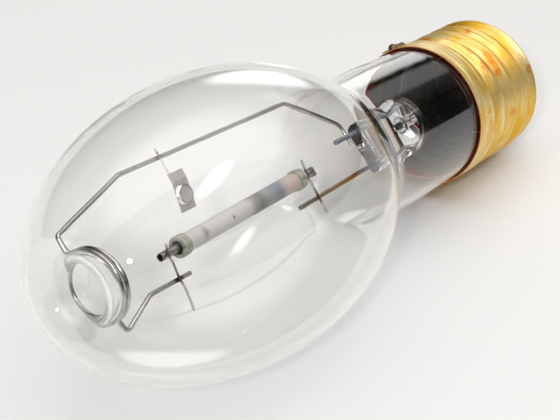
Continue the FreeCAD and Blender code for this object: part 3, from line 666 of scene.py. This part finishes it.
def glass_outline(sizes, inset):
    """One side of the bulb's glass, from the middle of the dimple to the end of the neck."""
    side = sizes.bulb_radius - inset
    dome = sizes.dome_rise - inset
    shoulder = sizes.shoulder_drop - inset
    neck = sizes.neck_radius - inset
    centre = sizes.bulb_centre
    dimple = sizes.dimple_radius - sizes.glass_wall + inset
    floor = sizes.dimple_floor + sizes.glass_wall - inset
    floor_round = sizes.dimple_round - sizes.glass_wall + inset
    lip = sizes.dimple_lip - inset
    blend = sizes.shoulder_blend + inset

    flat = dimple - floor_round
    points = [Vector((flat * step / EDGE_ROWS, floor)) for step in range(EDGE_ROWS)]
    points += arc_points(Vector((flat, floor + floor_round)), floor_round, -math.pi / 2, 0, ROUND_ROWS)

    def lip_reach(angle):
        point = ellipse_point(side, dome, centre, angle) - ellipse_normal(side, dome, angle) * lip
        return point.x - dimple - lip

    lip_angle = solve(lip_reach, 0.0, math.pi / 2)
    normal = ellipse_normal(side, dome, lip_angle)
    lip_centre = ellipse_point(side, dome, centre, lip_angle) - normal * lip
    points += arc_points(lip_centre, lip, math.pi, math.atan2(normal.y, normal.x), BLEND_ROWS)

    for step in range(1, DOME_ROWS + 1):
        angle = lip_angle + (math.pi / 2 - lip_angle) * step / DOME_ROWS
        points.append(ellipse_point(side, dome, centre, angle))

    def shoulder_reach(angle):
        point = ellipse_point(side, shoulder, centre, angle) + ellipse_normal(side, shoulder, angle) * blend
        return neck + blend - point.x

    shoulder_angle = solve(shoulder_reach, math.pi / 2, math.pi)
    for step in range(1, SHOULDER_ROWS + 1):
        angle = math.pi / 2 + (shoulder_angle - math.pi / 2) * step / SHOULDER_ROWS
        points.append(ellipse_point(side, shoulder, centre, angle))
    normal = ellipse_normal(side, shoulder, shoulder_angle)
    blend_centre = ellipse_point(side, shoulder, centre, shoulder_angle) + normal * blend
    start = math.atan2(-normal.y, -normal.x) % (2 * math.pi)
    points += arc_points(blend_centre, blend, start, math.pi, BLEND_ROWS)[1:]

    rim = sizes.rim_radius - inset
    end = sizes.end_radius - inset
    points.append(Vector((neck, sizes.neck_taper)))
    points.append(Vector((rim, sizes.neck_straight)))
    points.append(Vector((rim, -sizes.step_start)))
    points.append(Vector((end, -sizes.step_end)))
    points.append(Vector((end, -sizes.neck_depth)))
    return points


def tube_matrix(sizes):
    """Turns a point given along the arc tube's axis, from its lower cap, into the frame."""
    foot = Matrix.Translation(Vector((sizes.side, 0, sizes.foot)))
    return LAMP @ foot @ Matrix.Rotation(math.radians(-TUBE_LEAN), 4, "Y")


def ring_outline(inner, outer, low, high, rounding=0.0):
    """A closed outline for a ring, with its outer corners rounded."""
    points = [Vector((inner, low))]
    if rounding:
        side = outer - rounding
        points += arc_points(Vector((side, low + rounding)), rounding, -math.pi / 2, 0, EDGE_ROWS)
        points += arc_points(Vector((side, high - rounding)), rounding, 0, math.pi / 2, EDGE_ROWS)
    else:
        points += [Vector((outer, low)), Vector((outer, high))]
    points += [Vector((inner, high)), Vector((inner, low))]
    return points


def turned_piece(name, outline, axis, material, nodes):
    """A turned piece on the arc tube, which stands for solids of the frame."""
    piece = turned_mesh(name, outline, axis, RING_STEPS)
    piece.data.materials.append(material)
    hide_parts(*nodes)
    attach(piece, "root")


def smooth_step(value):
    share = min(1.0, max(0.0, value))
    return share * share * (3 - 2 * share)


def shell_radius(sizes, angle, depth):
    """Outer radius of the screw shell: the skirt, then the thread's wave, which fades at both ends."""
    middle = (sizes.crest_radius + sizes.root_radius) / 2
    height = (sizes.crest_radius - sizes.root_radius) / 2
    starts = smooth_step((depth - sizes.skirt_length) / sizes.start_length)
    ends = smooth_step((sizes.thread_end - depth) / sizes.end_length)
    centre = sizes.skirt_radius + (middle - sizes.skirt_radius) * starts
    centre += (sizes.root_radius - middle) * (1 - ends)
    turns = (sizes.crest_depth - depth) / sizes.pitch
    wave = math.cos(2 * math.pi * turns - (angle - math.radians(180 - ROLL)))
    return centre + height * starts * ends * wave


def shell_line(sizes, angle, inset):
    """One side of the shell at an angle, from the rim to the hole in its bottom."""
    points = []
    for step in range(SHELL_ROWS + 1):
        depth = sizes.thread_end * step / SHELL_ROWS
        points.append(Vector((shell_radius(sizes, angle, depth) - inset, -depth)))
    bend = sizes.turn_in - inset
    side = points[-1].x
    for step in range(1, ROUND_ROWS + 1):
        turn = math.pi / 2 * step / ROUND_ROWS
        down = sizes.thread_end + bend * math.sin(turn)
        points.append(Vector((side - bend * (1 - math.cos(turn)), -down)))
    points.append(Vector((sizes.mouth_radius, points[-1].y)))
    return points


def shell_mesh(sizes, name):
    """Thin shell with the rolled thread on both sides of its sheet."""
    build = bmesh.new()
    columns = []
    for step in range(SHELL_STEPS):
        angle = 2 * math.pi * step / SHELL_STEPS
        line = shell_line(sizes, angle, 0.0) + shell_line(sizes, angle, sizes.sheet)[::-1]
        columns.append([build.verts.new(at_angle(LAMP, angle, point)) for point in line])
    for first, second in zip(columns, columns[1:] + columns[:1]):
        for row in range(len(first)):
            after = (row + 1) % len(first)
            build.faces.new([first[row], second[row], second[after], first[after]])
    return new_piece(name, build, 50)


class LAMP_OT_bulb(bpy.types.Operator):
    """Blow the clear bulb with its dimple and neck"""

    bl_idname = "lamp.bulb"
    bl_label = "Bulb"

    def execute(self, context):
        sizes = context.scene.lamp_sizes
        outside = glass_outline(sizes, 0.0)
        vacuum = glass_outline(sizes, sizes.glass_wall)
        bulb = turned_mesh("bulb_glass", outside + vacuum[::-1])
        bulb.data.materials.append(clear_glass(context.scene.lamp_colours))
        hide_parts("outer_bulb")
        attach(bulb, "root")
        return {"FINISHED"}


class LAMP_OT_stem(bpy.types.Operator):
    """Finish the glass stem and the exhaust tube"""

    bl_idname = "lamp.stem"
    bl_label = "Stem"

    def execute(self, context):
        glass = clear_glass(context.scene.lamp_colours, "Stem glass", STEM_SHADE)
        dress(glass, "stem_glass", "exhaust_tube")
        return {"FINISHED"}


class LAMP_OT_wires(bpy.types.Operator):
    """Finish the leads, the frame wire and the straps"""

    bl_idname = "lamp.wires"
    bl_label = "Leads and frame wire"

    def execute(self, context):
        colours = context.scene.lamp_colours
        welds = [meeting_point(first, second) for first, second in WELDED]
        wire = dull_metal("Nickel plated wire", colours.wire, colours.weld, 350, (0.15, 0.3), 0.35, welds)
        rod = dull_metal("Tungsten rod", colours.rod, (0.16, 0.19, 0.24), 500, (0.35, 0.55))
        strap = dull_metal("Strap wire", colours.niobium, colours.weld, 500, welds=welds)
        dress(wire, "frame_wire", "getter_wire", "contact_wire", "shell_wire", angle=60)
        dress(strap, "base_end_strap", "dome_end_strap", angle=60)
        dress(rod, "frame_lead")
        dress(heat_tinted(), "return_lead")
        return {"FINISHED"}


class LAMP_OT_arc_tube(bpy.types.Operator):
    """Finish the ceramic arc tube, its ends and electrodes"""

    bl_idname = "lamp.arc_tube"
    bl_label = "Arc tube"

    def execute(self, context):
        colours = context.scene.lamp_colours
        ceramic = arc_ceramic(colours)
        cap = cap_ceramic()
        niobium = dull_metal("Niobium tube", colours.niobium, colours.weld)
        tungsten = dull_metal("Electrode tungsten", colours.rod, colours.weld, 900)
        frit = plain_gloss("Sealing frit", colours.frit, (0.02, 0.025, 0.012), 900, 0.08, 0.2)
        amalgam = dull_metal("Amalgam", (0.10, 0.10, 0.11), (0.03, 0.03, 0.03))

        sizes = context.scene.tube_sizes
        axis = tube_matrix(sizes)
        tube = ring_outline(sizes.bore, sizes.radius, sizes.start, sizes.end)
        turned_piece("arc_tube_long", tube, axis, ceramic, ["arc_tube"])
        collar = ring_outline(sizes.cap_hole, sizes.cap_radius, sizes.cap_start, sizes.cap_end, sizes.cap_round)
        turned_piece("dome_cap_ring", collar, axis, cap, ["dome_end_cap"])
        seal = ring_outline(sizes.niobium_radius, sizes.cap_hole, sizes.end, sizes.frit_top)
        turned_piece("dome_frit_ring", seal, axis, frit, ["dome_end_frit"])

        dress(cap, "base_end_cap", "base_end_plug", "dome_end_plug")
        dress(frit, "base_end_frit")
        dress(niobium, "base_niobium_tube", "dome_niobium_tube")
        dress(tungsten, "base_electrode", "base_electrode_coil", "dome_electrode", "dome_electrode_coil")
        dress(amalgam, "amalgam_droplet")
        return {"FINISHED"}


class LAMP_OT_getter(bpy.types.Operator):
    """Finish the getter plate and its powder"""

    bl_idname = "lamp.getter"
    bl_label = "Getter"

    def execute(self, context):
        colours = context.scene.lamp_colours
        dress(getter_metal(), "getter_plate")
        dress(plain_gloss("Getter powder", colours.powder, (0.30, 0.29, 0.28), 1200, 0.7), "getter_fill")
        return {"FINISHED"}


class LAMP_OT_base(bpy.types.Operator):
    """Finish the screw base"""

    bl_idname = "lamp.base"
    bl_label = "Screw base"

    def execute(self, context):
        colours = context.scene.lamp_colours
        metal = brass(colours)
        shell = shell_mesh(context.scene.shell_sizes, "rolled_shell")
        shell.data.materials.append(metal)
        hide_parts("screw_shell")
        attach(shell, "root")
        dress(metal, "centre_contact")
        insulator = plain_gloss("Black glass", colours.black_glass, (0.02, 0.02, 0.022), 200, 0.15)
        dress(insulator, "base_insulator")
        dress(dull_metal("Solder", colours.solder, (0.15, 0.14, 0.13), 500), "contact_solder")
        scorched = dull_metal("Scorched solder", (0.20, 0.15, 0.09), (0.05, 0.035, 0.02), 700)
        dress(scorched, "side_solder")
        return {"FINISHED"}


# Camera, given along the lamp's own axes from the middle of its rim, in millimetres, and its lens.
CAMERA_PLACE = (-17.96, -342.74, 454.70)
CAMERA_RIGHT = (-0.49961, -0.63787, -0.58610)
CAMERA_UP = (0.86587, -0.38789, -0.31594)
CAMERA_NEAR = 0.05
CAMERA_FAR = 20
SENSOR_WIDTH = 36
PICTURE_WIDTH = 560
FOCAL_PIXELS = 2032.27


def camera():
    """The camera that looks at the lamp as the photo does."""
    data = bpy.data.cameras.new("Camera")
    data.sensor_fit = "HORIZONTAL"
    data.sensor_width = SENSOR_WIDTH
    data.lens = SENSOR_WIDTH * FOCAL_PIXELS / PICTURE_WIDTH
    data.clip_start = CAMERA_NEAR
    data.clip_end = CAMERA_FAR
    right = Vector(CAMERA_RIGHT)
    up = Vector(CAMERA_UP)
    turn = Matrix((right, up, right.cross(up))).transposed().to_4x4()
    piece = bpy.data.objects.new("Camera", data)
    piece.matrix_world = LAMP @ Matrix.Translation(Vector(CAMERA_PLACE) * MM) @ turn
    link(piece)
    bpy.context.scene.camera = piece


# The lamps, given in the frame. Each field of light in the room has the direction of its middle, the way
# that it is long, half its length, half its width, and its strength.
FLASH_PLACE = (0.525, 0.281, 0.457)
FLASH_WIDTH = 0.045
FLASH_WATTS = 1.3
STRIP_PLACE = (-0.010, 0.095, 0.263)
STRIP_AIM = (0.036, 0.0, 0.038)
STRIP_SIZE = (0.135, 0.048)
STRIP_LEVEL = 4.0
ROOM_LEVEL = 0.03
ROOM_COLOUR = (1, 0.99, 0.975)
LIGHT_FIELDS = (
    ((-0.2, 0.1, 0.97), (1, 0, 0), 0.86, 0.86, 1.95),
    ((-0.864, -0.479, 0.156), (-0.48, 0.86, 0), 0.24, 0.2, 1.8),
    ((-0.89, -0.14, 0.42), (-0.15, 0.98, 0), 0.22, 0.12, 0.5),
)
TABLE_REACH = 4.0
TABLE_GREY = 0.7


def table(colours):
    """The pale table, which reaches past all that the camera sees."""
    shader = Shader("Pale table")
    share = shader.spread(shader.noise(60), 0, 1, end=0.03)
    tone = shader.blend(share, colours.floor, grey(TABLE_GREY))
    material = shader.surface({"Base Color": tone, "Roughness": 0.6, "Specular IOR Level": 0.2})
    mesh = bpy.data.meshes.new("table")
    corners = [(x * TABLE_REACH, y * TABLE_REACH, 0) for x, y in ((-1, -1), (1, -1), (1, 1), (-1, 1))]
    mesh.from_pydata(corners, [], [(0, 1, 2, 3)])
    mesh.materials.append(material)
    piece = bpy.data.objects.new("table", mesh)
    link(piece)


def area_lamp(name, place, aim, size, watts):
    """A lamp that looks from its place at a point, seen in reflections but not by the camera."""
    data = bpy.data.lights.new(name, "AREA")
    data.energy = watts
    data.size = size
    piece = bpy.data.objects.new(name, data)
    piece.location = place
    piece.rotation_mode = "QUATERNION"
    piece.rotation_quaternion = (Vector(aim) - Vector(place)).to_track_quat("-Z", "Y")
    piece.visible_camera = False
    link(piece)
    return data


def flash():
    """The small round lamp by the camera, which gives the round highlight on the bulb."""
    data = area_lamp("flash", FLASH_PLACE, (0, 0, 0), FLASH_WIDTH, FLASH_WATTS)
    data.shape = "DISK"


def strip():
    """The soft lamp over the bulb, brightest in its middle."""
    length, width = STRIP_SIZE
    data = area_lamp("strip", STRIP_PLACE, STRIP_AIM, length, STRIP_LEVEL * math.pi * length * width)
    data.shape = "ELLIPSE"
    data.size_y = width
    data.use_nodes = True
    tree = Tree(data.node_tree)
    across = tree.add("NewGeometry").outputs["Parametric"]
    distance = tree.vector_maths("DISTANCE", across, (0.5, 0.5, 0))
    soft = tree.spread(distance, 0.5, 0.15, interpolation_type="SMOOTHERSTEP")
    tree.feed(tree.nodes["Emission"].inputs["Strength"], soft)


class Room(Tree):
    """Shader of the surroundings: a dim room with soft bright fields, each given by its direction."""

    def __init__(self):
        self.world = bpy.data.worlds.new("studio")
        self.world.use_nodes = True
        super().__init__(self.world.node_tree)
        self.direction = self.add("TexCoord").outputs["Generated"]
        self.level = ROOM_LEVEL

    def along(self, vector):
        return self.vector_maths("DOT_PRODUCT", self.direction, vector)

    def field(self, middle, length_way, half_length, half_width, strength):
        """A soft-edged field of light round a direction, longer along one way."""
        middle = Vector(middle).normalized()
        length_way = (Vector(length_way) - middle * middle.dot(length_way)).normalized()
        width_way = middle.cross(length_way)
        along = self.maths("DIVIDE", self.along(length_way), half_length)
        across = self.maths("DIVIDE", self.along(width_way), half_width)
        reach = self.maths("ADD", self.maths("POWER", along, 2.0), self.maths("POWER", across, 2.0))
        glow = self.spread(reach, 1.0, 0.2, interpolation_type="SMOOTHERSTEP")
        front = self.maths("GREATER_THAN", self.along(middle), 0.0)
        light = self.maths("MULTIPLY", self.maths("MULTIPLY", glow, front), strength)
        self.level = self.maths("ADD", self.level, light)

    def light_scene(self):
        background = self.nodes["Background"]
        self.feed(background.inputs["Color"], ROOM_COLOUR)
        self.feed(background.inputs["Strength"], self.level)
        bpy.context.scene.world = self.world


def room():
    """The light that comes from the surroundings."""
    surroundings = Room()
    for field in LIGHT_FIELDS:
        surroundings.field(*field)
    surroundings.light_scene()


class LAMP_OT_stage(bpy.types.Operator):
    """Set the table, the lamps and the camera"""

    bl_idname = "lamp.stage"
    bl_label = "Stage"

    def execute(self, context):
        table(context.scene.lamp_colours)
        flash()
        strip()
        room()
        camera()
        scene = context.scene
        scene.view_settings.view_transform = "Standard"
        scene.cycles.max_bounces = 24
        scene.cycles.transmission_bounces = 20
        scene.cycles.transparent_max_bounces = 24
        scene.cycles.glossy_bounces = 8
        scene.cycles.caustics_refractive = False
        return {"FINISHED"}


class LAMP_PT_panel(bpy.types.Panel):
    """Lists the pieces of the lamp"""

    bl_idname = "LAMP_PT_panel"
    bl_label = "Sodium lamp"
    bl_space_type = "VIEW_3D"
    bl_region_type = "UI"
    bl_category = "Lamp"

    def draw(self, context):
        for operator in OPERATORS:
            self.layout.operator(operator.bl_idname)
        scene = context.scene
        for group in (scene.lamp_sizes, scene.tube_sizes, scene.shell_sizes, scene.lamp_colours):
            for name in group.bl_rna.properties.keys():
                if name not in ("rna_type", "name"):
                    self.layout.prop(group, name)


OPERATORS = (
    LAMP_OT_bulb,
    LAMP_OT_stem,
    LAMP_OT_wires,
    LAMP_OT_arc_tube,
    LAMP_OT_getter,
    LAMP_OT_base,
    LAMP_OT_stage,
)
CLASSES = (LampSizes, TubeSizes, ShellSizes, LampColours, *OPERATORS, LAMP_PT_panel)


def register():
    for item in CLASSES:
        bpy.utils.register_class(item)
    bpy.types.Scene.lamp_sizes = PointerProperty(type=LampSizes)
    bpy.types.Scene.tube_sizes = PointerProperty(type=TubeSizes)
    bpy.types.Scene.shell_sizes = PointerProperty(type=ShellSizes)
    bpy.types.Scene.lamp_colours = PointerProperty(type=LampColours)


def unregister():
    del bpy.types.Scene.lamp_colours
    del bpy.types.Scene.shell_sizes
    del bpy.types.Scene.tube_sizes
    del bpy.types.Scene.lamp_sizes
    for item in reversed(CLASSES):
        bpy.utils.unregister_class(item)


def main():
    register()
    for operator in OPERATORS:
        group, name = operator.bl_idname.split(".")
        getattr(getattr(bpy.ops, group), name)()


if __name__ == "__main__":
    main()
